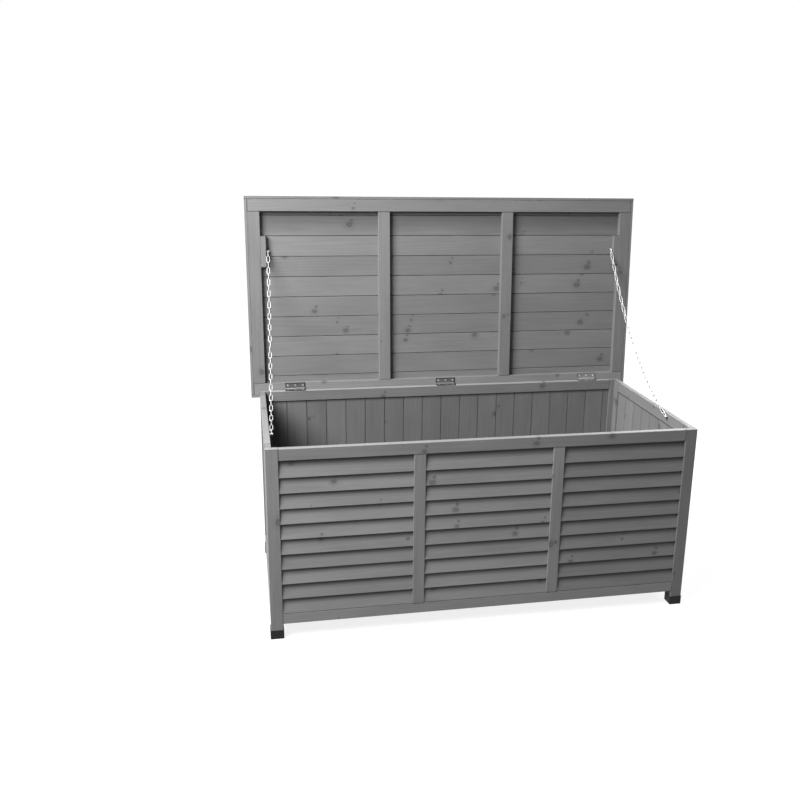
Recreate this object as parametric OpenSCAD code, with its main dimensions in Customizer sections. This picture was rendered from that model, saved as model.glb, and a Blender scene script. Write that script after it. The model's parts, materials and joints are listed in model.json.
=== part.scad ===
// Deck storage box: framed timber chest with louvred front, boarded back and
// sides, a boarded lid on three butt hinges and two link chains that stop the
// lid. Millimetres, +Z up, +Y to the back. The lid stands open on its chains.
// Origin: on the floor, at the middle of the space that the open box takes up.

/* [Box] */
// Width of the box over its corner legs
box_w = 1150; // [900:10:1500]
// Depth of the box over its front and back frames
box_d = 560; // [480:5:700]
// Height of the box from the floor to the top of its rails
box_h = 522; // [440:2:640]
// Height of the open space under the bottom rails
leg_gap = 42; // [34:1:70]

/* [Frames] */
// Thickness of the frame stock
frame_t = 16; // [15.5:0.5:20]
// Face width of the corner legs
leg_w = 32; // [28:1:44]
// Face width of the stiles in the two side frames
stile_w = 33; // [28:1:44]
// Height of the top rails
top_rail_w = 31; // [26:1:44]
// Height of the bottom rails
bottom_rail_w = 28; // [26:1:44]
// Face width of the two upright mullions in the front
mullion_w = 31; // [28:1:44]
// Bevel that eases the edges of the timber
edge_bevel = 1; // [0.4:0.1:1.6]

/* [Louvres] */
// Height that one slat covers from its lowest to its highest corner
slat_rise = 47; // [40:0.5:60]
// Thickness of a slat
slat_t = 6.5; // [5:0.1:7]
// Height by which each slat laps the one below it
slat_lap = 5.4; // [3:0.2:9]
// Gap between two lapped slats
slat_gap = 0.7; // [0.4:0.1:1.2]
// Depth to which the slat ends are housed in legs and mullions
slat_housing = 5; // [3:0.5:7]

/* [Boards] */
// Cover width of one tongued board
board_w = 60; // [45:0.1:90]
// Thickness of the wall boards
board_t = 9; // [7:0.5:10]
// Depth of the frame grooves that hold the wall boards
board_groove = 5; // [3:0.5:7]
// Width of the first back board, where it is cut to fit the frame
back_first_board = 52.5; // [30:0.5:59]
// Width of the first side board, where it is cut to fit the frame
side_first_board = 46; // [30:1:59]
// Gap between neighbouring boards
board_joint = 0.8; // [0.3:0.1:1.5]
// Thickness of the tongues
tongue_t = 3; // [2:0.2:4]
// Length of the tongues
tongue_l = 4; // [2:0.5:6]

/* [Floor] */
// Thickness of the floor boards
floor_t = 9; // [7:0.5:14]
// Width and height of the bearers under the floor
bearer = 20; // [15:1:24]
// Gap between the floor boards
floor_gap = 3; // [1.5:0.5:6]

/* [Foot caps] */
// Height of the plastic foot caps
cap_h = 25; // [15:1:32]
// Wall thickness of the foot caps
cap_wall = 1.6; // [1.2:0.1:2.5]
// Thickness of the cap under the leg
cap_base = 2.5; // [1.5:0.1:4]
// Radius of the corners of the cap
cap_round = 3; // [1.8:0.2:5]

/* [Lid] */
// Overhang of the lid past each end of the box
lid_overhang = 25; // [10:1:40]
// Overhang of the closed lid past the front of the box
lid_lip = 9; // [3:1:25]
// Length of the lid behind the hinge pins
lid_tail = 25; // [22:1:32]
// Angle between the open lid and the closed lid
lid_open = 93; // [85:0.5:100]
// Thickness of the frame under the lid boards
lid_frame_t = 18; // [15:0.5:24]
// Width of the rails, stiles and battens under the lid
lid_frame_w = 35; // [30:1:45]
// Thickness of the lid boards
lid_board_t = 12; // [9:0.5:18]
// Width of the first lid board at the hinge side
lid_first_board = 53.8; // [30:0.2:59]
// Thickness of the edging round the lid
edging_t = 8; // [6:0.5:12]
// Length of the blocks that the chains are screwed to
block_l = 91; // [60:1:140]
// Thickness of the blocks that the chains are screwed to
block_t = 16; // [14:0.5:22]

/* [Hinges] */
// Distance from the ends of the box to the middle of the outer hinges
hinge_inset = 107; // [70:1:200]
// Length of a hinge along its pin
hinge_l = 60; // [45:1:80]
// Width of a leaf from the pin axis to its free edge
leaf_w = 17.5; // [15:0.1:17.5]
// Thickness of the leaves
leaf_t = 1.5; // [1.2:0.1:1.8]
// Radius of the knuckles
knuckle_r = 2.6; // [2.3:0.1:3]
// Radius of the hinge pins
pin_r = 1.3; // [1:0.1:1.5]
// Distance from the back of the box to the pin axis
pin_setback = 2; // [1.5:0.1:4]
// Radius of the shanks of the hinge screws
hinge_screw_r = 1.4; // [1:0.1:1.6]
// Radius of the heads of the hinge screws
hinge_screw_head_r = 3; // [2.3:0.1:3.3]
// Length of the hinge screws
hinge_screw_l = 13; // [10:0.5:15]

/* [Chains] */
// Diameter of the chain wire
wire_d = 2.2; // [1.8:0.1:2.8]
// Outer width of a link
link_w = 9.6; // [9:0.1:12]
// Spacing of the links that the link count aims at
link_pitch_aim = 18.6; // [15:0.1:22]
// Length of a chain over the straight distance between its screws
chain_slack = 1.016; // [1.004:0.002:1.04]
// Distance from the front of the box to the chain screws on the box
box_anchor_y = 150; // [90:2:220]
// Distance from the top of the box to the chain screws on the box
box_anchor_drop = 8; // [6:0.5:20]
// Radius of the shanks of the chain screws
chain_screw_r = 1.7; // [1.3:0.1:2]
// Radius of the heads of the chain screws
chain_screw_head_r = 4.2; // [3.8:0.1:5]
// Height of the heads of the chain screws
chain_screw_head_h = 2.4; // [1.8:0.1:3.5]
// Length of a chain screw that is held in the timber
chain_screw_grip = 13; // [10:0.5:13.5]

/* [Dowels] */
// Diameter of the dowels that join the frames
dowel_d = 8; // [6:0.5:9]
// Length of the dowels
dowel_l = 30; // [24:1:36]
// Length of a corner dowel that is held in the leg
corner_bite = 10; // [8:0.5:12]

/* [Fits] */
// Clearance round boards, slat ends and dowels in their grooves and holes
wood_fit = 0.15; // [0.1:0.05:0.3]
// Clearance round screws, and between the legs and their foot caps
screw_fit = 0.1; // [0.05:0.05:0.2]
// Clearance of the hinge pins in the knuckles
pin_fit = 0.05; // [0.02:0.01:0.1]
// Gap between pieces that move past each other
run_gap = 0.3; // [0.25:0.05:0.4]

/* [Hidden] */
$fn = 48;
over = 1; // cuts run past a face by this much
screw_tip_l = 3;
screw_tip_r = 0.3;
recess_w = 0.6;
recess_depth = 0.8;
corner_dowel_heights = [0.12, 0.5, 0.88]; // parts of the bay height

// Colours
timber = "#8a8c8d";
board_tone = "#7d7f81";
black_plastic = "#1d1d1e";
dark_steel = "#5c5f63";
zinc = "#d8dadc";

// Frames
inner_w = box_w - 2 * frame_t;
inner_d = box_d - 2 * frame_t;
bay_z = leg_gap + bottom_rail_w;
bay_h = box_h - top_rail_w - bay_z;
panel_w = box_w - 2 * leg_w;
bay_w = (panel_w - 2 * mullion_w) / 3;
mullion_x = (bay_w + mullion_w) / 2;
side_panel_d = inner_d - 2 * stile_w;
side_mid_x = (box_w - frame_t) / 2;
rail_mids = [leg_gap + bottom_rail_w / 2, box_h - top_rail_w / 2];

// Louvres: the slats share the bay evenly and lean so that lapped slats clear
slat_count = round((bay_h - slat_rise) / (slat_rise - slat_lap)) + 1;
slat_pitch = (bay_h - slat_rise) / (slat_count - 1);
slat_lean = asin((slat_t + slat_gap) / slat_pitch);
slat_w = (slat_rise - slat_t * sin(slat_lean)) / cos(slat_lean);
slat_depth = slat_w * sin(slat_lean) + slat_t * cos(slat_lean);
slat_y = (frame_t - slat_depth) / 2;

// Boards: a cut board is never narrower than this
narrowest_board = 18;

// Lid, measured from the hinge pins: s runs to the free edge, n upwards
knuckle_gap = 0.2; // between the knuckles and the timber
leaf_drop = knuckle_r + knuckle_gap;
hinge_y = box_d + pin_setback;
hinge_z = box_h + leaf_drop;
lid_front = hinge_y + lid_lip;
lid_d = lid_front + lid_tail;
lid_w = box_w + 2 * lid_overhang;
lid_t = lid_frame_t + lid_board_t;
lid_inner_w = lid_w - 2 * edging_t;
lid_rail_s = edging_t - lid_tail;
lid_stile_s = lid_rail_s + lid_frame_w;
lid_stile_l = lid_front - edging_t - lid_frame_w - lid_stile_s;
lid_bay_w = (lid_inner_w - 4 * lid_frame_w) / 3;
lid_batten_x = (lid_bay_w + lid_frame_w) / 2;
block_x = lid_inner_w / 2 - lid_frame_w - block_t;

// Hinges: the box has three knuckles of each and the lid two, and each leaf
// has two spare holes between its screws
knuckle_l = hinge_l / 5;
leaf_clear = knuckle_r + run_gap;
leaf_screw_x = [-0.38, 0, 0.38] * hinge_l;
leaf_spare_x = [-0.23, 0.23] * hinge_l;
leaf_spare_r = 1.4;
leaf_screw_s = (leaf_w + leaf_clear) / 2;

// Chains: [x, y, z] of the left chain's two screws, which lie one above the
// other when the lid is closed. Each screw holds its link clear of the timber
// by enough for the next link, which is turned across it.
function on_open_lid(s, n) = [
    hinge_y - s * cos(lid_open) + n * sin(lid_open),
    hinge_z + s * sin(lid_open) + n * cos(lid_open)
];
link_off = link_w / 2 + run_gap;
lid_anchor_s = hinge_y - box_anchor_y;
lid_anchor_yz = on_open_lid(lid_anchor_s, leaf_drop + lid_frame_t / 2);
lid_anchor = [-block_x + link_off, lid_anchor_yz[0], lid_anchor_yz[1]];
box_anchor = [link_off - inner_w / 2, box_anchor_y, box_h - box_anchor_drop];
chain_span = lid_anchor - box_anchor;
link_bend_r = (link_w - wire_d) / 2;
screw_seat = chain_screw_r + run_gap;

// Each link is a whole number of hundredths long, so the chain's length is too
slack_l = chain_slack * norm(chain_span) + 2 * screw_seat - run_gap;
link_count = 2 * round(slack_l / (2 * link_pitch_aim));
link_half = round(50 * (slack_l / link_count + run_gap + wire_d - 2 * link_bend_r)) / 100;
link_inner_l = 2 * (link_half + link_bend_r) - wire_d;
link_pitch = link_inner_l - run_gap;
chain_l = link_count * link_pitch + run_gap - 2 * screw_seat;
lower_links = 2 * floor(link_count / 4) + 1;
parting_gap = 2 * run_gap;
parting_splay = asin((wire_d + parting_gap) / 2 / (link_pitch - wire_d));

// The chain hangs in a catenary z = a cosh(x / a), whose arc from the lowest
// point is a sinh(x / a). Halving steps find the half span h / 2a.
function sinh(u) = (exp(u) - exp(-u)) / 2;
function asinh(u) = ln(u + sqrt(u * u + 1));
function half_span(ratio, low, high, steps) =
    let (mid = (low + high) / 2)
    steps == 0 ? mid
        : sinh(mid) / mid < ratio ? half_span(ratio, mid, high, steps - 1)
        : half_span(ratio, low, mid, steps - 1);
chain_reach = norm([chain_span[0], chain_span[1]]);
chain_rise = chain_span[2];
hang = chain_reach / 2 / half_span(sqrt(chain_l * chain_l - chain_rise * chain_rise) / chain_reach, 0.01, 4, 40);
hang_x = hang * ln((chain_l + chain_rise) / (chain_l - chain_rise)) / 2 - chain_reach / 2;
hang_arc = hang * sinh(hang_x / hang);

// The open box reaches from its foot caps to the far edge of the lid
reach_front = -cap_wall - screw_fit;
reach_back = on_open_lid(lid_front, leaf_drop + lid_t)[0];
centre_y = (reach_front + reach_back) / 2;

// ---- places ----

// Box coordinates: x from the middle, y from the front face, z from the floor
module in_box() {
    translate([0, -centre_y, 0]) children();
}

// Pin coordinates: x along the pins, s towards the free edges, n upwards
module at_pins() {
    in_box() translate([0, hinge_y, hinge_z]) mirror([0, 1, 0]) children();
}

// Lid coordinates: pin coordinates that turn with the lid
module in_lid() {
    in_box() translate([0, hinge_y, hinge_z]) rotate([-lid_open, 0, 0]) mirror([0, 1, 0]) children();
}

module on_right() {
    mirror([1, 0, 0]) children();
}

module on_both_sides() {
    children();
    on_right() children();
}

module at_back() {
    translate([0, box_d, 0]) mirror([0, 1, 0]) children();
}

// ---- timber ----

module eased_rectangle(w, h) {
    b = edge_bevel;
    polygon([[b, 0], [w - b, 0], [w, b], [w, h - b], [w - b, h], [b, h], [0, h - b], [0, b]]);
}

// A stick of timber that fills size, with the edges along one axis eased
module stick_x(size) {
    rotate([90, 0, 90]) linear_extrude(size[0]) eased_rectangle(size[1], size[2]);
}

module stick_y(size) {
    translate([0, size[1], 0]) rotate([90, 0, 0]) linear_extrude(size[1]) eased_rectangle(size[0], size[2]);
}

module stick_z(size) {
    linear_extrude(size[2]) eased_rectangle(size[0], size[1]);
}

// Section of a tongued board: width along x, thickness along y
module board_section(w, t, grooved, tongued) {
    b = edge_bevel;
    low = (t - tongue_t) / 2;
    high = (t + tongue_t) / 2;
    tongue = [[w, low], [w + tongue_l, low], [w + tongue_l, high], [w, high]];
    groove_l = tongue_l - board_joint + wood_fit;
    groove = [
        [0, high + wood_fit], [groove_l, high + wood_fit],
        [groove_l, low - wood_fit], [0, low - wood_fit]
    ];
    polygon(concat(
        [[b, 0], [w - b, 0], [w, b]], tongued ? tongue : [],
        [[w, t - b], [w - b, t], [b, t], [0, t - b]], grooved ? groove : [],
        [[0, b]]
    ));
}

// Boards side by side over total along x, each l long along z.
// The first and last ones are cut to width.
module board_row(total, l, t, first) {
    whole = floor((total - first - narrowest_board) / board_w);
    for (i = [0 : whole + 1]) {
        from = i == 0 ? 0 : first + (i - 1) * board_w;
        to = i == whole + 1 ? total : first + i * board_w;
        translate([from, 0, 0]) linear_extrude(l)
            board_section(to - from - (to < total ? board_joint : 0), t, i > 0, to < total);
    }
}

// ---- dowels ----

module dowel(grow) {
    cylinder(h = dowel_l + 4 * grow, r = dowel_d / 2 + grow, center = true);
}

module dowels_rails_to_legs(grow) {
    for (z = rail_mids)
        translate([-panel_w / 2, frame_t / 2, z]) rotate([0, 90, 0]) dowel(grow);
}

module dowels_mullion(grow) {
    for (z = [bay_z, bay_z + bay_h])
        translate([-mullion_x, frame_t / 2, z]) dowel(grow);
}

module dowels_corner(grow) {
    for (part = corner_dowel_heights)
        translate([-side_mid_x, frame_t + dowel_l / 2 - corner_bite, bay_z + part * bay_h])
            rotate([90, 0, 0]) dowel(grow);
}

module dowels_side_rails(grow) {
    for (z = rail_mids)
        translate([-side_mid_x, frame_t + stile_w, z]) rotate([90, 0, 0]) dowel(grow);
}

module dowels_one_corner(grow) {
    dowels_rails_to_legs(grow);
    dowels_corner(grow);
    dowels_side_rails(grow);
}

module frame_dowels() {
    color("burlywood") in_box() on_both_sides() {
        dowels_one_corner(0);
        at_back() dowels_one_corner(0);
        dowels_mullion(0);
    }
}

// ---- legs, rails and mullions ----

// Front left leg: a stile from rail top to foot cap with a foot block behind it
module leg_blank() {
    difference() {
        union() {
            translate([-box_w / 2, 0, cap_base]) stick_z([leg_w, frame_t, box_h - cap_base]);
            translate([-box_w / 2, frame_t, cap_base])
                cube([leg_w, leg_w - frame_t, leg_gap - cap_base]);
        }
        dowels_rails_to_legs(wood_fit);
        dowels_corner(wood_fit);
    }
}

module front_leg() {
    difference() {
        leg_blank();
        translate([-panel_w / 2 - slat_housing, 0, 0]) slat_stack(slat_housing + over, wood_fit);
    }
}

module back_leg() {
    at_back() difference() {
        leg_blank();
        translate([-panel_w / 2 - board_groove, 0, bay_z]) board_slot_x(board_groove + over, bay_h);
    }
}

// Slot for wall boards, l long along x and h high, in the middle of the frame
module board_slot_x(l, h) {
    translate([0, (frame_t - board_t) / 2 - wood_fit, -board_groove])
        cube([l, board_t + 2 * wood_fit, h + 2 * board_groove]);
}

module front_rail(z, h) {
    color(timber) in_box() difference() {
        translate([-panel_w / 2, 0, z]) stick_x([panel_w, frame_t, h]);
        on_both_sides() dowels_rails_to_legs(wood_fit);
        on_both_sides() dowels_mullion(wood_fit);
    }
}

module back_rail(z, h) {
    difference() {
        at_back() difference() {
            translate([-panel_w / 2, 0, z]) stick_x([panel_w, frame_t, h]);
            on_both_sides() dowels_rails_to_legs(wood_fit);
            translate([-panel_w / 2 - over, 0, bay_z]) board_slot_x(panel_w + 2 * over, bay_h);
        }
        children();
    }
}

module mullion() {
    color(timber) in_box() difference() {
        translate([-mullion_x - mullion_w / 2, 0, bay_z]) stick_z([mullion_w, frame_t, bay_h]);
        dowels_mullion(wood_fit);
        translate([-mullion_x - mullion_w / 2 - over, 0, 0]) slat_stack(slat_housing + over, wood_fit);
        translate([-mullion_x + mullion_w / 2 - slat_housing, 0, 0])
            slat_stack(slat_housing + over, wood_fit);
    }
}

// ---- louvres ----

// The slats of one bay, l long along x, each grown by grow for its housing
module slat_stack(l, grow) {
    for (i = [0 : slat_count - 1])
        translate([0, slat_y, bay_z + i * slat_pitch + slat_t * sin(slat_lean)])
            rotate([-slat_lean, 0, 0]) translate([0, -grow, -grow])
                stick_x([l, slat_t + 2 * grow, slat_w + 2 * grow]);
}

module front_slats(mid_x) {
    l = bay_w + 2 * (slat_housing - wood_fit);
    color(board_tone) in_box() translate([mid_x - l / 2, 0, 0]) slat_stack(l, 0);
}

// ---- side frames ----

module side_stile() {
    difference() {
        translate([-box_w / 2, frame_t, leg_gap]) stick_z([frame_t, stile_w, box_h - leg_gap]);
        dowels_corner(wood_fit);
        dowels_side_rails(wood_fit);
        side_slot();
    }
}

// The slot that runs round inside a side frame
module side_slot() {
    translate([-side_mid_x - board_t / 2 - wood_fit, frame_t + stile_w - board_groove, bay_z - board_groove])
        cube([board_t + 2 * wood_fit, side_panel_d + 2 * board_groove, bay_h + 2 * board_groove]);
}

module side_rail(z, h) {
    difference() {
        translate([-box_w / 2, frame_t + stile_w, z]) stick_y([frame_t, side_panel_d, h]);
        dowels_side_rails(wood_fit);
        at_back() dowels_side_rails(wood_fit);
        side_slot();
    }
}

module side_top_rail() {
    difference() {
        side_rail(box_h - top_rail_w, top_rail_w);
        translate([-inner_w / 2, box_anchor_y, box_anchor[2]]) chain_screw_hole();
    }
}

module side_boards() {
    total = side_panel_d + 2 * (board_groove - wood_fit);
    l = bay_h + 2 * (board_groove - wood_fit);
    translate([-side_mid_x + board_t / 2, (box_d - total) / 2, bay_z - board_groove + wood_fit])
        rotate([0, 0, 90]) board_row(total, l, board_t, side_first_board);
}

module back_board_row() {
    total = panel_w + 2 * (board_groove - wood_fit);
    l = bay_h + 2 * (board_groove - wood_fit);
    translate([-total / 2, box_d - (frame_t + board_t) / 2, bay_z - board_groove + wood_fit])
        board_row(total, l, board_t, back_first_board);
}

// ---- floor ----

module bearers() {
    middle_y = (box_d - bearer) / 2;
    for (y = [frame_t, middle_y, box_d - frame_t - bearer])
        translate([-inner_w / 2, y, leg_gap]) stick_x([inner_w, bearer, bearer]);
}

module floor_row() {
    count = round(inner_w / board_w);
    pitch = inner_w / count;
    for (i = [0 : count - 1])
        translate([-inner_w / 2 + i * pitch + floor_gap / 2, frame_t + wood_fit, leg_gap + bearer])
            stick_y([pitch - floor_gap, inner_d - 2 * wood_fit, floor_t]);
}

// ---- foot caps ----

module rounded_square(w) {
    r = cap_round;
    translate([r, 0]) square([w - 2 * r, w]);
    translate([0, r]) square([w, w - 2 * r]);
    for (x = [r, w - r], y = [r, w - r]) translate([x, y]) circle(r);
}

// Side view of a cap: square above, rounded at the floor
module cap_profile(w) {
    r = cap_round;
    translate([0, r]) square([w, cap_h - r]);
    translate([r, 0]) square([w - 2 * r, r]);
    for (x = [r, w - r]) translate([x, r]) circle(r);
}

module foot_cap() {
    wall = cap_wall + screw_fit;
    w = leg_w + 2 * wall;
    pocket = leg_w + 2 * screw_fit;
    translate([-box_w / 2 - wall, -wall, 0]) difference() {
        intersection() {
            linear_extrude(cap_h) rounded_square(w);
            translate([0, w, 0]) rotate([90, 0, 0]) linear_extrude(w) cap_profile(w);
            rotate([90, 0, 90]) linear_extrude(w) cap_profile(w);
        }
        translate([cap_wall, cap_wall, cap_base]) cube([pocket, pocket, cap_h]);
    }
}

// ---- hinges ----

module at_hinges() {
    outer_x = box_w / 2 - hinge_inset;
    for (x = [-outer_x, 0, outer_x]) translate([x, 0, 0]) children();
}

module at_leaf_screws() {
    at_hinges() for (x = leaf_screw_x) translate([x, leaf_screw_s, leaf_drop - leaf_t]) children();
}

// A leaf on the underside of the lid, with the knuckles that are its own
module leaf(own_knuckles) {
    difference() {
        union() {
            translate([-hinge_l / 2, leaf_clear, leaf_drop - leaf_t])
                cube([hinge_l, leaf_w - leaf_clear, leaf_t]);
            for (i = own_knuckles) translate([-hinge_l / 2 + i * knuckle_l, 0, 0]) {
                width = knuckle_l - run_gap;
                translate([run_gap / 2, 0, leaf_drop - leaf_t]) cube([width, leaf_clear, leaf_t]);
                translate([run_gap / 2, 0, 0]) rotate([0, 90, 0]) cylinder(h = width, r = knuckle_r);
            }
        }
        translate([-hinge_l / 2 - over, 0, 0]) rotate([0, 90, 0])
            cylinder(h = hinge_l + 2 * over, r = pin_r + pin_fit);
    }
}

module drilled_leaves(own_knuckles) {
    difference() {
        at_hinges() leaf(own_knuckles);
        at_leaf_screws() hinge_screw_hole();
        at_hinges() for (x = leaf_spare_x) translate([x, leaf_screw_s, leaf_drop - leaf_t - over])
            cylinder(h = leaf_t + 2 * over, r = leaf_spare_r);
    }
}

// Countersunk screw: its head starts at z = 0 and its point is up
module hinge_screw() {
    difference() {
        rotate_extrude() polygon([
            [0, 0], [hinge_screw_head_r, 0], [hinge_screw_r, leaf_t],
            [hinge_screw_r, hinge_screw_l - screw_tip_l], [screw_tip_r, hinge_screw_l], [0, hinge_screw_l]
        ]);
        cross_recess(hinge_screw_head_r * 1.1);
    }
}

module cross_recess(l) {
    for (a = [0, 90]) rotate([0, 0, a]) cube([l, recess_w, 2 * recess_depth], center = true);
}

module hinge_screw_hole() {
    head = hinge_screw_head_r + screw_fit;
    shank = hinge_screw_r + screw_fit;
    end = hinge_screw_l + screw_fit;
    rotate_extrude() polygon([[0, -over], [head, -over], [head, 0], [shank, leaf_t], [shank, end], [0, end]]);
}

module hinge_pin() {
    rotate([0, 90, 0]) cylinder(h = hinge_l, r = pin_r, center = true);
}

// ---- lid ----

// Timber of the lid: from [x, s] with a size, its underside n above the frame's
module lid_stick_x(x, s, n, size) {
    color(timber) in_lid() translate([x, s, leaf_drop + n]) stick_x(size);
}

module lid_stick_s(x, s, n, size) {
    translate([x, s, leaf_drop + n]) stick_y(size);
}

module lid_stile() {
    color(timber) in_lid() lid_stick_s(-lid_inner_w / 2, lid_stile_s, 0, [lid_frame_w, lid_stile_l, lid_frame_t]);
}

module lid_batten() {
    color(timber) in_lid()
        lid_stick_s(-lid_batten_x - lid_frame_w / 2, lid_stile_s, 0, [lid_frame_w, lid_stile_l, lid_frame_t]);
}

module lid_side_edging() {
    l = lid_d - 2 * edging_t;
    color(timber) in_lid() lid_stick_s(-lid_w / 2, lid_rail_s, 0, [edging_t, l, lid_t]);
}

module chain_block() {
    difference() {
        lid_stick_s(-block_x - block_t, lid_anchor_s - block_l / 2, 0, [block_t, block_l, lid_frame_t]);
        translate([-block_x, lid_anchor_s, leaf_drop + lid_frame_t / 2]) chain_screw_hole();
    }
}

module lid_board_row() {
    total = lid_d - 2 * edging_t;
    translate([-lid_inner_w / 2, lid_rail_s, leaf_drop + lid_frame_t]) rotate([90, 0, 90])
        board_row(total, lid_inner_w, lid_board_t, lid_first_board);
}

// ---- chains ----

// Pan-head screw through a link that stands off the timber; x = 0 is the face
module chain_screw() {
    neck = link_off + wire_d / 2 + run_gap;
    top = neck + chain_screw_head_h;
    rotate([0, 90, 0]) difference() {
        rotate_extrude() polygon([
            [0, -chain_screw_grip], [screw_tip_r, -chain_screw_grip],
            [chain_screw_r, screw_tip_l - chain_screw_grip], [chain_screw_r, neck],
            [chain_screw_head_r, neck], [chain_screw_head_r, (neck + top) / 2],
            [chain_screw_head_r * 0.7, top], [0, top]
        ]);
        translate([0, 0, top]) cross_recess(chain_screw_head_r);
    }
}

module chain_screw_hole() {
    rotate([0, 90, 0]) translate([0, 0, -chain_screw_grip - screw_fit])
        cylinder(h = chain_screw_grip + screw_fit + over, r = chain_screw_r + screw_fit);
}

// A welded link, long along y and lying flat in x and y
module link() {
    for (end = [0, 180]) rotate([0, 0, end]) {
        translate([0, link_half, 0]) rotate_extrude(angle = 180)
            translate([link_bend_r, 0]) circle(d = wire_d);
        translate([link_bend_r, 0, 0]) rotate([90, 0, 0])
            cylinder(h = 2 * link_half, d = wire_d, center = true);
    }
}

// Place and slope of the hanging chain at a distance from the box's screw
function chain_place(l) =
    let (arc = hang_arc + l, run = hang * asinh(arc / hang) - hang_x)
    box_anchor + [
        chain_span[0] * run / chain_reach,
        chain_span[1] * run / chain_reach,
        norm([hang, arc]) - norm([hang, hang_arc])
    ];
function chain_slope(l) = atan((hang_arc + l) / hang);

// Puts what lies along y at l on the chain, pointing up it
module on_chain(l) {
    translate(chain_place(l)) rotate([chain_slope(l), 0, -atan2(chain_span[0], chain_span[1])]) children();
}

// Links first to last; the outer ones lie flat to the side of the box. The
// parted link turns a little round its held end, to pass beside its neighbour.
module chain_run(first, last, parted, held) {
    for (i = [first : last]) {
        turn = (i - first) % 2 == 0 ? 90 : 0;
        middle = link_inner_l / 2 - screw_seat + i * link_pitch;
        pivot = i == parted ? held * link_pitch : 0;
        on_chain(middle + pivot) rotate([0, 0, i == parted ? parting_splay : 0])
            translate([0, -pivot, 0]) rotate([0, turn, 0]) link();
    }
}

module chain_lower() {
    color(zinc) in_box() chain_run(0, lower_links - 1, lower_links - 1, -0.5);
}

module chain_upper() {
    color(zinc) in_box() chain_run(lower_links, link_count - 1, lower_links, 0.5);
}

// ---- nodes ----

module front_left_leg() { color(timber) in_box() front_leg(); }
module front_right_leg() { color(timber) in_box() on_right() front_leg(); }
module back_left_leg() { color(timber) in_box() back_leg(); }
module back_right_leg() { color(timber) in_box() on_right() back_leg(); }
module front_top_rail() { front_rail(box_h - top_rail_w, top_rail_w); }
module front_bottom_rail() { front_rail(leg_gap, bottom_rail_w); }
module front_left_mullion() { mullion(); }
module front_right_mullion() { on_right() mullion(); }
module front_slats_left() { front_slats(-bay_w - mullion_w); }
module front_slats_middle() { front_slats(0); }
module front_slats_right() { front_slats(bay_w + mullion_w); }
module back_top_rail() {
    color(timber) difference() {
        in_box() back_rail(box_h - top_rail_w, top_rail_w);
        at_pins() mirror([0, 0, 1]) at_leaf_screws() hinge_screw_hole();
    }
}
module back_bottom_rail() { color(timber) in_box() back_rail(leg_gap, bottom_rail_w); }
module back_boards() { color(board_tone) in_box() back_board_row(); }
module left_top_rail() { color(timber) in_box() side_top_rail(); }
module left_bottom_rail() { color(timber) in_box() side_rail(leg_gap, bottom_rail_w); }
module left_front_stile() { color(timber) in_box() side_stile(); }
module left_back_stile() { color(timber) in_box() at_back() side_stile(); }
module left_boards() { color(board_tone) in_box() side_boards(); }
module right_top_rail() { on_right() left_top_rail(); }
module right_bottom_rail() { on_right() left_bottom_rail(); }
module right_front_stile() { on_right() left_front_stile(); }
module right_back_stile() { on_right() left_back_stile(); }
module right_boards() { on_right() left_boards(); }
module floor_bearers() { color(timber) in_box() bearers(); }
module floor_boards() { color(board_tone) in_box() floor_row(); }
module foot_caps() {
    color(black_plastic) in_box() on_both_sides() {
        foot_cap();
        at_back() foot_cap();
    }
}
module hinge_box_leaves() { color(dark_steel) at_pins() mirror([0, 0, 1]) drilled_leaves([0, 2, 4]); }
module hinge_pins() { color(zinc) at_pins() at_hinges() hinge_pin(); }
module hinge_box_screws() { color(zinc) at_pins() mirror([0, 0, 1]) at_leaf_screws() hinge_screw(); }
module chain_box_screws() {
    color(zinc) in_box() on_both_sides()
        translate([-inner_w / 2, box_anchor_y, box_anchor[2]]) chain_screw();
}
module lid_front_rail() {
    s = lid_front - edging_t - lid_frame_w;
    lid_stick_x(-lid_inner_w / 2, s, 0, [lid_inner_w, lid_frame_w, lid_frame_t]);
}
module lid_hinge_rail() {
    difference() {
        lid_stick_x(-lid_inner_w / 2, lid_rail_s, 0, [lid_inner_w, lid_frame_w, lid_frame_t]);
        in_lid() at_leaf_screws() hinge_screw_hole();
    }
}
module lid_left_stile() { lid_stile(); }
module lid_right_stile() { on_right() lid_stile(); }
module lid_left_batten() { lid_batten(); }
module lid_right_batten() { on_right() lid_batten(); }
module lid_boards() { color(board_tone) in_lid() lid_board_row(); }
module lid_front_edging() { lid_stick_x(-lid_w / 2, lid_front - edging_t, 0, [lid_w, edging_t, lid_t]); }
module lid_back_edging() { lid_stick_x(-lid_w / 2, -lid_tail, 0, [lid_w, edging_t, lid_t]); }
module lid_left_edging() { lid_side_edging(); }
module lid_right_edging() { on_right() lid_side_edging(); }
module lid_chain_blocks() { color(timber) in_lid() on_both_sides() chain_block(); }
module hinge_lid_leaves() { color(dark_steel) in_lid() drilled_leaves([1, 3]); }
module hinge_lid_screws() { color(zinc) in_lid() at_leaf_screws() hinge_screw(); }
module chain_lid_screws() {
    color(zinc) in_lid() on_both_sides()
        translate([-block_x, lid_anchor_s, leaf_drop + lid_frame_t / 2]) chain_screw();
}
module left_chain_upper() { chain_upper(); }
module left_chain_lower() { chain_lower(); }
module right_chain_upper() { on_right() chain_upper(); }
module right_chain_lower() { on_right() chain_lower(); }

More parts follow.
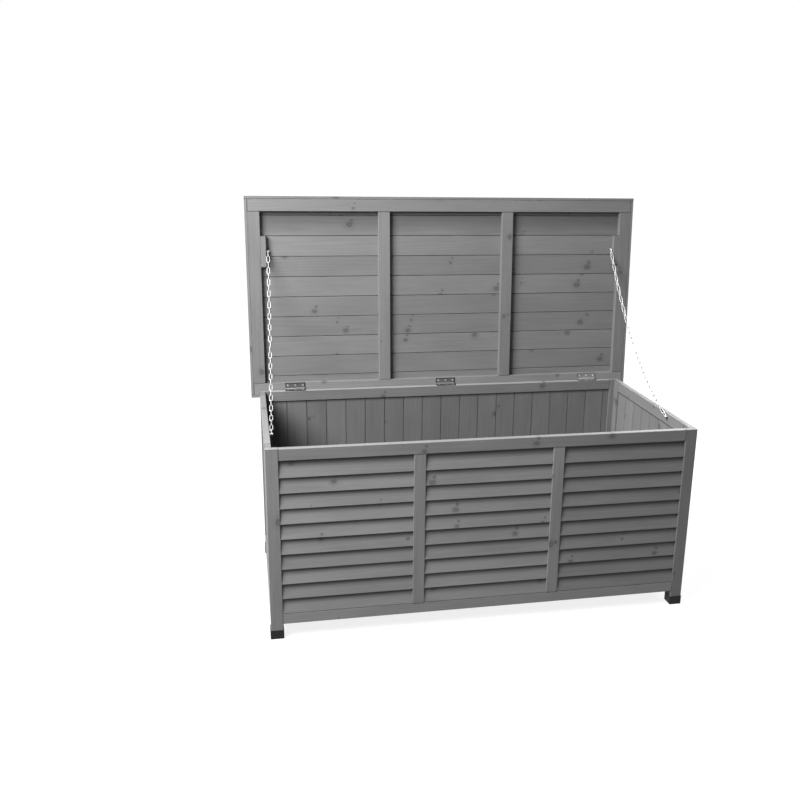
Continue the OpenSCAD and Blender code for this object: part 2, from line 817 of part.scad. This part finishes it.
front_left_leg();
front_right_leg();
back_left_leg();
back_right_leg();
front_top_rail();
front_bottom_rail();
front_left_mullion();
front_right_mullion();
front_slats_left();
front_slats_middle();
front_slats_right();
back_top_rail();
back_bottom_rail();
back_boards();
left_top_rail();
left_bottom_rail();
left_front_stile();
left_back_stile();
left_boards();
right_top_rail();
right_bottom_rail();
right_front_stile();
right_back_stile();
right_boards();
frame_dowels();
floor_bearers();
floor_boards();
foot_caps();
hinge_box_leaves();
hinge_pins();
hinge_box_screws();
chain_box_screws();
lid_front_rail();
lid_hinge_rail();
lid_left_stile();
lid_right_stile();
lid_left_batten();
lid_right_batten();
lid_boards();
lid_front_edging();
lid_back_edging();
lid_left_edging();
lid_right_edging();
lid_chain_blocks();
hinge_lid_leaves();
hinge_lid_screws();
chain_lid_screws();
left_chain_upper();
left_chain_lower();
right_chain_upper();
right_chain_lower();
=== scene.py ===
"""Deck storage box: the finish of every piece, the floor, the light and the camera."""
import json
import math

import bpy
from mathutils import Matrix, Vector


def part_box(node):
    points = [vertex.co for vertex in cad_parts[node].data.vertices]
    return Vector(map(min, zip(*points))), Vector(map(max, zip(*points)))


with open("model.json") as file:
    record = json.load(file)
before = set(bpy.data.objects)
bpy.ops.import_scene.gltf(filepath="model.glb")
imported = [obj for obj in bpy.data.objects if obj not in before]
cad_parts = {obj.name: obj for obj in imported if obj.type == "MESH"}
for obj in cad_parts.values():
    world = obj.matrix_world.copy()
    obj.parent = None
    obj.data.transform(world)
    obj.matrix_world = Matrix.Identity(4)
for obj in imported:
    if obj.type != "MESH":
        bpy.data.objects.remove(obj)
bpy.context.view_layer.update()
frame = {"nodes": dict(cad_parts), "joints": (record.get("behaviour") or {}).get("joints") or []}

X, Y, Z = Vector((1, 0, 0)), Vector((0, 1, 0)), Vector((0, 0, 1))

# The way from the hinge to the free edge of the lid, which stands open
lid_hinge = next(j for j in frame["joints"] if j["name"] == "lid_hinge")
LID_OPEN = math.radians(max(lid_hinge["range_deg"]))
LID_S = Vector((0, -math.cos(LID_OPEN), math.sin(LID_OPEN)))

# Lengths in metres, as in the solids. The gap is between a louvre slat and the next one
SLAT_THICK = 0.0065
SLAT_GAP = 0.0007
HINGE_L = 0.060

# How pale the stain is
FRAME_TONE = 0.185
BOARD_TONE = 0.175
DOWEL_TONE = 0.5

# Pieces that are paler or darker than that: partly their own stain and partly painted shade and
# light, such as the darker right end of the front, the darker back boards inside the box and the
# paler lid hinge rail
STAIN_AND_PAINTED_LIGHT = {
    "front_top_rail": 0.88, "front_bottom_rail": 1.12,
    "front_left_leg": 0.88, "front_right_leg": 0.76,
    "front_left_mullion": 0.93, "front_right_mullion": 0.95, "front_slats_right": 0.83,
    "back_boards": 0.86, "lid_boards": 1.04,
    "lid_left_stile": 0.84, "lid_front_rail": 0.95, "lid_hinge_rail": 1.14,
}

# Boards with a painted shadow beside a rail: the rail, the way to it, where the painted shadow
# is darkest and where it ends, counted from the rail's near edge, and how pale the most shaded wood
# is
PAINTED_RAIL_SHADOW = {
    "lid_boards": ("lid_front_rail", LID_S, 0.015, 0.075, 0.6),
    "back_boards": ("back_top_rail", Z, 0.0, 0.012, 0.3),
    "left_boards": ("left_top_rail", Z, 0.0, 0.008, 0.4),
    "right_boards": ("right_top_rail", Z, 0.0, 0.008, 0.4),
}

# Painted light and sheen on the top of a rail or leg: how much paler than its sides the top is,
# where below 1 is darker, and the depth over which that fades.
# The top of a leg is end grain, which dress() has already darkened
TOP_PAINTED_LIGHT = {
    "front_top_rail": 1.5, "back_top_rail": 1.6, "left_top_rail": 1.2, "right_top_rail": 0.75,
    "front_left_leg": 2.8, "front_right_leg": 2.4, "back_left_leg": 2.4, "back_right_leg": 2.2,
}
TOP_PAINTED_LIGHT_FADE = (0.0004, 0.0014)

# Painted shade on a louvre slat under the slat above it: where it starts and where it is darkest,
# counted from the slat's upper edge, and how pale the most shaded wood is
SLAT_SHADE_FROM, SLAT_SHADE_TO, SLAT_SHADE_DARKEST = 0.026, 0.006, 0.35

# Knots: the stretch of board that may hold one, along and across, the share of them without one,
# the least size and what chance adds to it, and how the second knot lies beside the first
KNOT_CELL = (0.26, 0.06)
KNOT_FREE = 0.40
KNOT_LEAST, KNOT_CHANCE = 0.0020, 0.0045
KNOT_RAGGED = 0.0035
KNOT_BESIDE = (0.005, 0.014, 0.0)

# Growth rings: their width, where the pith lies beside the board, how far it drifts, how fast the
# rings run out along the grain, and how far they swing round a knot
RING = 0.0042
PITH_ACROSS = (-0.06, 0.06)
PITH_THROUGH = (0.02, 0.08)
PITH_DRIFT = 0.030
RUN_OUT = 0.010
KNOT_SWING = 0.006

# Painted shade in the seams and stain at the ends of a board: from where to where it gathers in a
# seam and at an end, how uneven that line is, and how an end and a long edge with a painted
# highlight compare with a seam, where less than 0 is paler
SEAM_SHADE = (0.0014, 0.0002)
END = (0.0022, 0.0004)
UNEVEN = 0.0008
END_SHARE, ARRIS_HIGHLIGHT_SHARE = 1.3, -0.25

# Hinge leaf: from where to where its rim gets darker, counted from its edge, and where the knuckles
# start to get paler, counted from their far side
LEAF_RIM = (0.0032, 0.0012)
KNUCKLE = (0.0062, 0.0046)

# The floor's own glow, which makes it all but white to the eye, and the share of the white room's
# light that reaches the object
FLOOR_GLOW = 0.84
ROOM_LIGHT = 0.07


# ---- node trees ----

class Tree:
    """Adds nodes to one node tree. Inputs are numbers, vectors or the sockets of other nodes."""

    def __init__(self, tree):
        self.tree = tree

    def add(self, kind, inputs=None, **settings):
        node = self.tree.nodes.new(kind)
        for name, value in settings.items():
            setattr(node, name, value)
        for name, value in (inputs or {}).items():
            self.feed(node.inputs[name], value)
        return node

    def feed(self, socket, value):
        if isinstance(value, bpy.types.NodeSocket):
            self.tree.links.new(value, socket)
        else:
            socket.default_value = value

    def math(self, operation, *values):
        node = self.add("ShaderNodeMath", dict(enumerate(values)), operation=operation)
        return node.outputs[0]

    def vector(self, operation, *values):
        node = self.add("ShaderNodeVectorMath", dict(enumerate(values)), operation=operation)
        scalar = operation in ("DOT_PRODUCT", "LENGTH")
        return node.outputs["Value" if scalar else "Vector"]

    def combine(self, x, y, z):
        return self.add("ShaderNodeCombineXYZ", {"X": x, "Y": y, "Z": z}).outputs[0]

    def separate(self, vector):
        return self.add("ShaderNodeSeparateXYZ", {"Vector": vector}).outputs

    def reach(self, place, direction):
        return self.vector("DOT_PRODUCT", place, direction)

    def noise(self, place, scale, detail=2.0, roughness=0.5):
        """Noise from 0 to 1. The scale is one number, or one along, across and through."""
        scales = scale if isinstance(scale, tuple) else (scale, scale, scale)
        inputs = {"Vector": self.vector("MULTIPLY", place, scales), "Scale": 1.0}
        inputs.update({"Detail": detail, "Roughness": roughness})
        return self.add("ShaderNodeTexNoise", inputs).outputs["Fac"]

    def centred(self, value):
        return self.math("SUBTRACT", value, 0.5)

    def between(self, share, low, high):
        return self.math("MULTIPLY_ADD", share, high - low, low)

    def ramp(self, value, low, high, to_low=0.0, to_high=1.0):
        inputs = {"Value": value, "From Min": low, "From Max": high}
        inputs.update({"To Min": to_low, "To Max": to_high})
        node = self.add("ShaderNodeMapRange", inputs, interpolation_type="SMOOTHSTEP")
        return node.outputs["Result"]

    def grey(self, value):
        inputs = {"Red": value, "Green": value, "Blue": value}
        return self.add("ShaderNodeCombineColor", inputs).outputs[0]

    def place(self):
        return self.add("ShaderNodeTexCoord").outputs["Object"]

    def seen(self):
        """1 for the rays that show the surroundings, 0 for those that light the object."""
        rays = self.add("ShaderNodeLightPath").outputs
        mirrored = self.math("MAXIMUM", rays["Is Glossy Ray"], rays["Is Transmission Ray"])
        return self.math("MAXIMUM", rays["Is Camera Ray"], mirrored)


def new_material(name):
    material = bpy.data.materials.new(name)
    material.use_nodes = True
    tree = Tree(material.node_tree)
    shader = material.node_tree.nodes["Principled BSDF"]
    return material, tree, shader


def set_material(node, material):
    for slot in frame["nodes"][node].material_slots:
        slot.material = material


def bump(t, shader, height, strength, distance):
    inputs = {"Height": height, "Strength": strength, "Distance": distance}
    t.feed(shader.inputs["Normal"], t.add("ShaderNodeBump", inputs).outputs["Normal"])


# ---- sizes read from the solids ----

def lowest_reaches(node, direction):
    """Lowest reach along a direction of each loose piece of a node, in order."""
    mesh = frame["nodes"][node].data
    parent = {}

    def root(key):
        while parent[key] != key:
            parent[key] = parent[parent[key]]
            key = parent[key]
        return key

    keys = [tuple(round(c, 5) for c in v.co) for v in mesh.vertices]
    for key in keys:
        parent.setdefault(key, key)
    for edge in mesh.edges:
        a, b = (root(keys[i]) for i in edge.vertices)
        parent[a] = b
    lowest = {}
    for key in parent:
        piece = root(key)
        lowest[piece] = min(lowest.get(piece, math.inf), Vector(key).dot(direction))
    return sorted(lowest.values())


def extent(node, directions):
    """Middle and half size of a node along each direction."""
    points = [v.co for v in frame["nodes"][node].data.vertices]
    sides = [[p.dot(direction) for p in points] for direction in directions]
    ends = [(min(side), max(side)) for side in sides]
    return [(low + high) / 2 for low, high in ends], [(high - low) / 2 for low, high in ends]


def board_steps(node, direction):
    """Start and width of the boards of a row. The first and the last board are narrower."""
    lows = lowest_reaches(node, direction)
    pitch = (lows[-1] - lows[1]) / (len(lows) - 2)
    return lows[1] - pitch, pitch


# ---- stained timber ----

def knots(t, moved, along, across):
    """Core and halo of the knots: three cells in five hold a knot and a smaller one beside it."""
    cell = t.add("ShaderNodeTexVoronoi", {
        "Vector": t.combine(t.math("MULTIPLY", along, 1 / KNOT_CELL[0]),
                            t.math("MULTIPLY", across, 1 / KNOT_CELL[1]), 0.0),
        "Scale": 1.0, "Randomness": 0.9,
    }, voronoi_dimensions="2D")
    knot_place = t.vector("MULTIPLY", cell.outputs["Position"], (*KNOT_CELL, 0.0))
    apart = t.vector("SUBTRACT", t.combine(along, across, 0.0), knot_place)
    beside = t.vector("SUBTRACT", apart, KNOT_BESIDE)
    far = t.math("MINIMUM", t.vector("LENGTH", t.vector("MULTIPLY", apart, (0.8, 1.0, 0.0))),
                 t.vector("LENGTH", t.vector("MULTIPLY", beside, (1.6, 1.7, 0.0))))
    ragged = t.centred(t.noise(moved, 200.0))
    far = t.math("ADD", far, t.math("MULTIPLY", ragged, KNOT_RAGGED))
    luck = t.separate(cell.outputs["Color"])
    has_knot = t.math("GREATER_THAN", luck[0], KNOT_FREE)
    size = t.math("MULTIPLY_ADD", luck[1], KNOT_CHANCE, KNOT_LEAST)
    far = t.math("DIVIDE", far, size)
    heart = t.ramp(far, 0.1, 0.8, 0.6, 1.0)
    core = t.math("MULTIPLY", has_knot, t.math("MULTIPLY", t.ramp(far, 1.8, 0.7), heart))
    halo = t.math("MULTIPLY", has_knot, t.ramp(far, 3.6, 0.8))
    return core, halo


def late_wood(t, place, moved, luck, halo):
    """Late wood of each growth ring, which darkens slowly from the pith and ends sharply."""
    along, across, through = t.separate(place)
    drift = t.math("MULTIPLY", t.centred(t.noise(moved, (1.6, 9.0, 9.0), 2.0)), PITH_DRIFT)
    pith_across = t.between(luck[0], *PITH_ACROSS)
    pith_through = t.between(luck[1], *PITH_THROUGH)
    from_pith = t.vector("LENGTH", t.combine(
        t.math("ADD", t.math("SUBTRACT", across, pith_across), drift),
        t.math("ADD", through, pith_through), 0.0))
    from_pith = t.math("ADD", from_pith, t.math("MULTIPLY", along, RUN_OUT))
    from_pith = t.math("ADD", from_pith, t.math("MULTIPLY", halo, KNOT_SWING))
    ring = t.math("FRACT", t.math("MULTIPLY", from_pith, 1 / RING))
    return t.math("MULTIPLY", t.ramp(ring, 0.25, 0.92), t.ramp(ring, 1.0, 0.94))


def build_wood_group():
    """Grey stained softwood. Place is in metres: along the grain, across the face, through it."""
    group = bpy.data.node_groups.new("stained_softwood", "ShaderNodeTree")
    for name, kind in (("Place", "Vector"), ("Seed", "Float"), ("Edge", "Float"),
                       ("Tone", "Float")):
        group.interface.new_socket(name, in_out="INPUT", socket_type="NodeSocket" + kind)
    for name, kind in (("Color", "Color"), ("Roughness", "Float"), ("Height", "Float")):
        group.interface.new_socket(name, in_out="OUTPUT", socket_type="NodeSocket" + kind)
    t = Tree(group)
    given = group.nodes.new("NodeGroupInput").outputs

    # Each board is cut from its own place in the pattern
    chance = t.add("ShaderNodeTexWhiteNoise", {"W": given["Seed"]}, noise_dimensions="1D")
    chance = chance.outputs["Color"]
    luck = t.separate(chance)
    moved = t.vector("ADD", given["Place"], t.vector("MULTIPLY", chance, (7.0, 3.0, 5.0)))
    moved_along, moved_across, _ = t.separate(moved)

    core, halo = knots(t, moved, moved_along, moved_across)
    late = late_wood(t, given["Place"], moved, luck, halo)
    fibre = t.noise(moved, (9.0, 620.0, 620.0), 3.0, 0.6)
    streak = t.noise(moved, (6.0, 120.0, 120.0), 3.0, 0.6)
    blotch = t.noise(moved, (5.0, 14.0, 14.0), 3.0, 0.55)

    value = t.between(luck[2], 0.93, 1.07)
    for amount, pattern in (
            (-0.06, late), (0.24, t.centred(streak)), (0.16, t.centred(fibre)),
            (0.36, t.centred(blotch)), (-0.12, halo), (-0.38, core), (-0.38, given["Edge"])):
        value = t.math("MULTIPLY", value, t.math("MULTIPLY_ADD", pattern, amount, 1.0))
    value = t.math("MULTIPLY", value, given["Tone"])

    height = t.math("MULTIPLY", fibre, 0.5)
    for amount, pattern in ((-0.35, late), (0.5, streak), (-0.5, core)):
        height = t.math("ADD", height, t.math("MULTIPLY", pattern, amount))

    end = group.nodes.new("NodeGroupOutput").inputs
    t.feed(end["Color"], t.grey(value))
    t.feed(end["Roughness"], t.between(fibre, 0.50, 0.64))
    t.feed(end["Height"], height)
    return group


def dress(t, shader, at, half, board, tone, seams):
    """Joins the wood to a shader. at is a place from the board's middle, half its half size.

    Stain gathers at the ends of every piece, and where boards stand side by side the seams get
    painted shade. A single piece gets a painted highlight along its long edges instead.
    """
    inside = [t.math("SUBTRACT", half[i], t.math("ABSOLUTE", at[i])) for i in range(3)]
    total = t.math("ADD", t.math("ADD", inside[0], inside[1]), inside[2])
    least = t.math("MINIMUM", t.math("MINIMUM", inside[0], inside[1]), inside[2])
    most = t.math("MAXIMUM", t.math("MAXIMUM", inside[0], inside[1]), inside[2])
    to_edge = t.math("SUBTRACT", t.math("SUBTRACT", total, least), most)
    spot = t.combine(*at)
    uneven = t.math("MULTIPLY", t.noise(spot, (45.0, 180.0, 180.0), 2.0), UNEVEN)
    # Painted shade in the seams
    edge = t.ramp(t.math("SUBTRACT", to_edge, uneven), *SEAM_SHADE)
    if not seams:
        end = t.ramp(t.math("SUBTRACT", inside[0], uneven), *END, 0.0, END_SHARE)
        # Stain at the ends, and a painted highlight along the long edges
        edge = t.math("MAXIMUM", end, t.math("MULTIPLY", edge, ARRIS_HIGHLIGHT_SHARE))
    wood = t.add("ShaderNodeGroup", node_tree=WOOD)
    for name, value in (("Place", spot), ("Seed", board), ("Edge", edge), ("Tone", tone)):
        t.feed(wood.inputs[name], value)
    t.feed(shader.inputs["Base Color"], wood.outputs["Color"])
    t.feed(shader.inputs["Roughness"], wood.outputs["Roughness"])
    shader.inputs["Specular IOR Level"].default_value = 0.25
    bump(t, shader, wood.outputs["Height"], 0.25, 0.0004)


def one_of_row(t, at, start, pitch):
    """Number of a board in its row, and a place across it from its middle."""
    turn = t.math("MULTIPLY", t.math("SUBTRACT", at, start), 1 / pitch)
    index = t.math("FLOOR", turn)
    return index, t.math("MULTIPLY", t.centred(t.math("SUBTRACT", turn, index)), pitch)


def timber(node, along, across, tone, seed, steps=None, seams=False):
    """Gives a node stained timber. steps = (start, pitch) along across where it is a row."""
    directions = (along, across, along.cross(across))
    middle, half = extent(node, directions)
    material, t, shader = new_material(node + "_timber")
    place = t.place()
    at = [t.math("SUBTRACT", t.reach(place, direction), middle[i])
          for i, direction in enumerate(directions)]
    board = float(seed)
    if steps:
        index, at[1] = one_of_row(t, t.reach(place, across), *steps)
        board = t.math("ADD", index, float(seed))
        half[1] = steps[1] / 2
        seams = True
    # Each piece's own stain, partly painted shade and light
    tone *= STAIN_AND_PAINTED_LIGHT.get(node, 1.0)
    if node in PAINTED_RAIL_SHADOW:
        # Painted shadow of the rail on the boards beside it, darkest next to the rail
        rail, direction, near, far, darkest = PAINTED_RAIL_SHADOW[node]
        (rail_middle,), (rail_half,) = extent(rail, (direction,))
        to_rail = t.math("SUBTRACT", rail_middle - rail_half, t.reach(place, direction))
        tone = t.math("MULTIPLY", t.ramp(to_rail, near, far, darkest, 1.0), tone)
    if node in TOP_PAINTED_LIGHT:
        # Painted light and sheen from above on the top face of the piece
        (top_middle,), (top_half,) = extent(node, (Z,))
        to_top = t.math("SUBTRACT", top_middle + top_half, t.reach(place, Z))
        tone = t.math("MULTIPLY", t.ramp(to_top, *TOP_PAINTED_LIGHT_FADE, TOP_PAINTED_LIGHT[node], 1.0), tone)
    dress(t, shader, at, half, board, tone, seams)
    set_material(node, material)


def slats(node, tone, seed):
    """Gives a stack of leaning slats stained timber, each slat its own board."""
    lows = lowest_reaches(node, Z)
    rise_pitch = (lows[-1] - lows[0]) / (len(lows) - 1)
    depth_pitch = SLAT_THICK + SLAT_GAP
    lean = math.asin(depth_pitch / rise_pitch)
    rise = Vector((0, math.sin(lean), math.cos(lean)))
    face = Vector((0, math.cos(lean), -math.sin(lean)))
    middle, half = extent(node, (X, rise, face))
    slat_pitch = rise_pitch * math.cos(lean)
    slat_half = (half[1] * 2 - slat_pitch * (len(lows) - 1)) / 2
    top_slat = middle[1] + half[1] - slat_half
    first_depth = middle[2] - half[2] - SLAT_GAP / 2

    material, t, shader = new_material(node + "_timber")
    place = t.place()
    index, through = one_of_row(t, t.reach(place, face), first_depth, depth_pitch)
    across = t.math("SUBTRACT", t.reach(place, rise), top_slat)
    across = t.math("ADD", across, t.math("MULTIPLY", index, slat_pitch))
    along = t.math("SUBTRACT", t.reach(place, X), middle[0])
    board = t.math("ADD", index, float(seed))
    # Each piece's own stain, partly painted shade and light
    tone *= STAIN_AND_PAINTED_LIGHT.get(node, 1.0)
    # Painted shade darkens each slat where it passes behind the next
    painted_slat_shade = t.ramp(across, slat_half - SLAT_SHADE_FROM, slat_half - SLAT_SHADE_TO, 1.0, SLAT_SHADE_DARKEST)
    tone = t.math("MULTIPLY", painted_slat_shade, tone)
    dress(t, shader, [along, across, through], [half[0], slat_half, SLAT_THICK / 2], board, tone,
          seams=False)
    set_material(node, material)


# ---- plastic and metal ----

def moulded_plastic():
    material, t, shader = new_material("black_moulded_plastic")
    place = t.place()
    scuff = t.noise(place, (60.0, 60.0, 160.0), 4.0, 0.65)
    t.feed(shader.inputs["Base Color"], t.grey(t.math("MULTIPLY_ADD", scuff, 0.010, 0.004)))
    t.feed(shader.inputs["Roughness"], t.math("MULTIPLY_ADD", scuff, 0.3, 0.40))
    shader.inputs["Specular IOR Level"].default_value = 0.2
    bump(t, shader, t.noise(place, 1500.0, 3.0), 0.25, 0.0003)
    return material


def plate(t, shader, place, blotch, tone, rough):
    """Joins a grey metal to a shader. It is rougher where the blotches are, and finely pitted."""
    t.feed(shader.inputs["Base Color"], t.grey(tone))
    t.feed(shader.inputs["Roughness"], t.math("MULTIPLY_ADD", blotch, 0.2, rough))
    shader.inputs["Metallic"].default_value = 1.0
    bump(t, shader, t.noise(place, 2200.0, 2.0), 0.15, 0.0002)


def zinc(name, tone, spread, rough, blotch_size):
    material, t, shader = new_material(name)
    place = t.place()
    blotch = t.noise(place, 1 / blotch_size, 3.0, 0.6)
    tone = t.math("MULTIPLY_ADD", blotch, spread, tone - spread / 2)
    plate(t, shader, place, blotch, tone, rough - 0.1)
    return material


def hinge_leaves(node, outward):
    """Dark steel for a row of hinge leaves: darker round each rim, paler on the knuckles."""
    lows = lowest_reaches(node, X)
    pitch = lows[1] - lows[0]
    middle, half = extent(node, (outward,))
    material, t, shader = new_material(node + "_steel")
    place = t.place()
    turn = t.math("MULTIPLY", t.math("SUBTRACT", t.reach(place, X), lows[0]), 1 / pitch)
    from_end = t.math("MULTIPLY", t.math("FRACT", turn), pitch)
    to_end = t.math("MINIMUM", from_end, t.math("SUBTRACT", HINGE_L, from_end))
    to_rim = t.math("SUBTRACT", middle[0] + half[0], t.reach(place, outward))
    rim = t.ramp(t.math("MINIMUM", to_end, to_rim), *LEAF_RIM)
    knuckle = t.ramp(to_rim, *[half[0] * 2 - depth for depth in KNUCKLE])
    blotch = t.noise(place, 100.0, 3.0, 0.6)
    tone = t.math("MULTIPLY_ADD", blotch, 0.08, 0.17)
    tone = t.math("MULTIPLY", tone, t.math("MULTIPLY_ADD", rim, -0.7, 1.0))
    tone = t.math("MULTIPLY_ADD", knuckle, 0.10, tone)
    # The hinge on the right is paler, a painted reflection of the brighter light it catches
    tone = t.math("ADD", tone, t.math("MULTIPLY", t.math("GREATER_THAN", turn, 2.0), 0.14))
    plate(t, shader, place, blotch, tone, 0.32)
    set_material(node, material)


# ---- every piece gets its finish ----

WOOD = build_wood_group()


def finish_box():
    for seed, node in enumerate(("front_top_rail", "front_bottom_rail", "back_top_rail",
                                 "back_bottom_rail", "floor_bearers")):
        timber(node, X, Z, FRAME_TONE, 11 + seed, seams=node == "front_bottom_rail")
    for seed, node in enumerate(("front_left_leg", "front_right_leg", "back_left_leg",
                                 "back_right_leg", "front_left_mullion", "front_right_mullion")):
        timber(node, Z, X, FRAME_TONE, 31 + seed)
    for side, seed in (("left", 51), ("right", 61)):
        timber(side + "_top_rail", Y, Z, FRAME_TONE, seed)
        timber(side + "_bottom_rail", Y, Z, FRAME_TONE, seed + 1)
        timber(side + "_front_stile", Z, Y, FRAME_TONE, seed + 2, seams=True)
        timber(side + "_back_stile", Z, Y, FRAME_TONE, seed + 3, seams=True)
        boards = side + "_boards"
        timber(boards, Z, Y, BOARD_TONE, seed * 7, board_steps(boards, Y))
    timber("back_boards", Z, X, BOARD_TONE, 200, board_steps("back_boards", X))
    timber("floor_boards", Y, X, BOARD_TONE, 300, board_steps("floor_boards", X))
    timber("frame_dowels", Y, X, DOWEL_TONE, 400)
    for seed, node in enumerate(("front_slats_left", "front_slats_middle", "front_slats_right")):
        slats(node, BOARD_TONE, 500 + 40 * seed)


def finish_lid():
    for seed, node in enumerate(("lid_front_rail", "lid_hinge_rail", "lid_front_edging",
                                 "lid_back_edging")):
        timber(node, X, LID_S, FRAME_TONE, 71 + seed, seams="edging" in node)
    for seed, node in enumerate(("lid_left_stile", "lid_right_stile", "lid_left_batten",
                                 "lid_right_batten", "lid_left_edging", "lid_right_edging",
                                 "lid_chain_blocks")):
        timber(node, LID_S, X, FRAME_TONE, 81 + seed, seams="edging" in node)
    timber("lid_boards", X, LID_S, BOARD_TONE, 600, board_steps("lid_boards", LID_S))


def finish_fittings():
    set_material("foot_caps", moulded_plastic())
    dull = zinc("dull_zinc_plate", tone=0.50, spread=0.2, rough=0.50, blotch_size=0.012)
    for node in ("left_chain_upper", "left_chain_lower", "right_chain_upper",
                 "right_chain_lower"):
        set_material(node, dull)
    bright = zinc("bright_zinc_plate", tone=0.80, spread=0.16, rough=0.38, blotch_size=0.004)
    for node in ("chain_box_screws", "chain_lid_screws", "hinge_box_screws",
                 "hinge_lid_screws", "hinge_pins"):
        set_material(node, bright)
    hinge_leaves("hinge_lid_leaves", LID_S)
    hinge_leaves("hinge_box_leaves", -Y)


finish_box()
finish_lid()
finish_fittings()


# ---- floor, light and camera ----

def build_floor():
    reach = 30.0
    corners = [(x * reach, y * reach, 0) for x, y in ((-1, -1), (1, -1), (1, 1), (-1, 1))]
    mesh = bpy.data.meshes.new("floor")
    mesh.from_pydata(corners, [], [(0, 1, 2, 3)])
    floor = bpy.data.objects.new("floor", mesh)
    bpy.context.scene.collection.objects.link(floor)
    material, t, shader = new_material("pale_floor")
    shader.inputs["Base Color"].default_value = (0.2, 0.2, 0.2, 1)
    shader.inputs["Roughness"].default_value = 0.9
    shader.inputs["Specular IOR Level"].default_value = 0.1
    shader.inputs["Emission Color"].default_value = (1, 1, 1, 1)
    t.feed(shader.inputs["Emission Strength"], t.math("MULTIPLY", t.seen(), FLOOR_GLOW))
    mesh.materials.append(material)


def shine(name, kind, place, target, power):
    light = bpy.data.lights.new(name, kind)
    light.energy = power
    lamp = bpy.data.objects.new(name, light)
    lamp.location = place
    lamp.rotation_euler = (Vector(target) - Vector(place)).to_track_quat("-Z", "Y").to_euler()
    bpy.context.scene.collection.objects.link(lamp)
    return light


def build_light():
    """A distant source overhead, a lamp at the front left and one behind on the right, and a
    white room that is dim except where it is seen."""
    overhead = shine("overhead", "SUN", (-2.1, -0.15, 3.0), target=(0.0, 0.0, 0.0), power=2.6)
    overhead.angle = math.radians(30)
    key = shine("key", "AREA", (-1.55, -1.1, 1.9), target=(-0.1, 0.1, 0.5), power=100)
    key.size = 1.2
    fill = shine("fill", "AREA", (2.2, 1.9, 2.2), target=(0.0, 0.0, 0.4), power=112)
    fill.size = 1.8
    world = bpy.data.worlds.new("studio")
    bpy.context.scene.world = world
    world.use_nodes = True
    t = Tree(world.node_tree)
    world.node_tree.nodes.clear()
    strength = t.between(t.seen(), ROOM_LIGHT, 1.0)
    sky = t.add("ShaderNodeBackground", {"Color": (1, 1, 1, 1), "Strength": strength})
    t.add("ShaderNodeOutputWorld", {"Surface": sky.outputs[0]})


def build_camera():
    """The camera of the photo: turned to the right, tipped down, and rolled a little."""
    turn, tip, roll = 0.2082, 0.2837, 0.0188
    from_left_leg = Vector((-0.0312, -2.1558, 1.2512))
    ahead = Vector((math.sin(turn) * math.cos(tip), math.cos(turn) * math.cos(tip),
                    -math.sin(tip)))
    level = ahead.cross(Z).normalized()
    above = level.cross(ahead)
    right = math.cos(roll) * level + math.sin(roll) * above
    up = -math.sin(roll) * level + math.cos(roll) * above
    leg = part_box("front_left_leg")[0]
    place = Vector((leg.x, leg.y, 0)) + from_left_leg
    lens = bpy.data.cameras.new("camera")
    lens.sensor_width = 36
    lens.lens = 41.09
    lens.shift_x = -0.0437
    lens.shift_y = 0.0114
    camera = bpy.data.objects.new("camera", lens)
    turned = Matrix((right, up, -ahead)).transposed().to_4x4()
    camera.matrix_world = Matrix.Translation(place) @ turned
    bpy.context.scene.collection.objects.link(camera)
    bpy.context.scene.camera = camera


build_floor()
build_light()
build_camera()
bpy.context.scene.view_settings.view_transform = "Standard"
